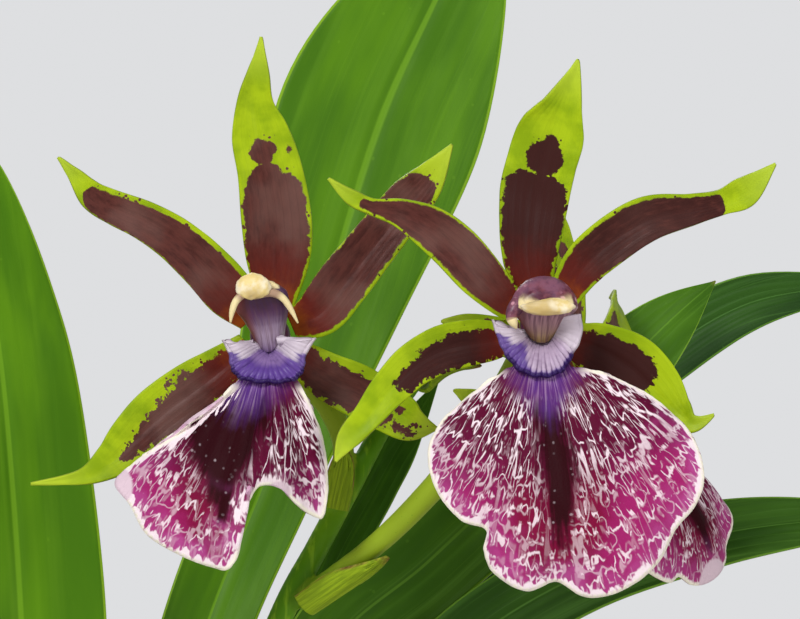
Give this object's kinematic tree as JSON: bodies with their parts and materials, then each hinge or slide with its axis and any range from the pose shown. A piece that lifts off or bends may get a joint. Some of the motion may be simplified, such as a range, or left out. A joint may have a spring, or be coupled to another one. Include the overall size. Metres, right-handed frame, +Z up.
{
  "type": "potted orchid",
  "caption": "Potted orchid: green blooms blotched with maroon, fanned magenta lips, strap leaves and pseudobulbs in bark, in a plain terracotta pot.",
  "frame": {"origin": "centre of the pot's flat underside, where it rests", "axes": "+Z up; -Y is the side that the two open blooms face; +X to the viewer's right of the blooms"},
  "size_m": [0.2825, 0.2411, 0.4103],
  "materials": {
    "terracotta": "matte fired clay",
    "bark": "rough, matte",
    "root": "velvety, matte",
    "pseudobulb": "satin",
    "dry_sheath": "papery, matte",
    "leaf": "glossy with fine parallel veins",
    "stem": "satin",
    "bract": "satin with a dried brown edge",
    "tepal": "waxy, chartreuse with maroon-brown blotches",
    "lip": "velvety, white netted with magenta",
    "callus": "waxy",
    "column": "waxy",
    "anther_cap": "waxy"
  },
  "bodies": {
    "root": {"back_bloom_anther_cap": "anther_cap", "back_bloom_callus": "callus", "back_bloom_column": "column", "back_bloom_dorsal_sepal": "tepal", "back_bloom_lateral_sepal_left": "tepal", "back_bloom_lateral_sepal_right": "tepal", "back_bloom_lip": "lip", "back_bloom_petal_left": "tepal", "back_bloom_petal_right": "tepal", "bark_mix": "bark", "bract_back_bloom": "bract", "bract_left_bloom": "bract", "bract_right_bloom": "bract", "bulb_sheath_back_left": "dry_sheath", "bulb_sheath_back_right": "dry_sheath", "bulb_sheath_front_left": "dry_sheath", "bulb_sheath_right": "dry_sheath", "flower_stem": "stem", "leaf_back_left": "leaf", "leaf_back_right": "leaf", "leaf_behind_stem": "leaf", "leaf_centre_tall": "leaf", "leaf_front_low": "leaf", "leaf_left_arching": "leaf", "leaf_left_tall": "leaf", "leaf_left_upright": "leaf", "leaf_right_back": "leaf", "leaf_right_long": "leaf", "leaf_right_low": "leaf", "left_bloom_anther_cap": "anther_cap", "left_bloom_callus": "callus", "left_bloom_column": "column", "left_bloom_dorsal_sepal": "tepal", "left_bloom_lateral_sepal_left": "tepal", "left_bloom_lateral_sepal_right": "tepal", "left_bloom_lip": "lip", "left_bloom_petal_left": "tepal", "left_bloom_petal_right": "tepal", "pot": "terracotta", "pseudobulb_back_left": "pseudobulb", "pseudobulb_back_right": "pseudobulb", "pseudobulb_front_left": "pseudobulb", "pseudobulb_right": "pseudobulb", "rhizome_and_roots": "root", "right_bloom_anther_cap": "anther_cap", "right_bloom_callus": "callus", "right_bloom_column": "column", "right_bloom_dorsal_sepal": "tepal", "right_bloom_lateral_sepal_left": "tepal", "right_bloom_lateral_sepal_right": "tepal", "right_bloom_lip": "lip", "right_bloom_petal_left": "tepal", "right_bloom_petal_right": "tepal", "scape_sheath_lower": "dry_sheath", "scape_sheath_upper": "dry_sheath"}
  },
  "joints": []
}
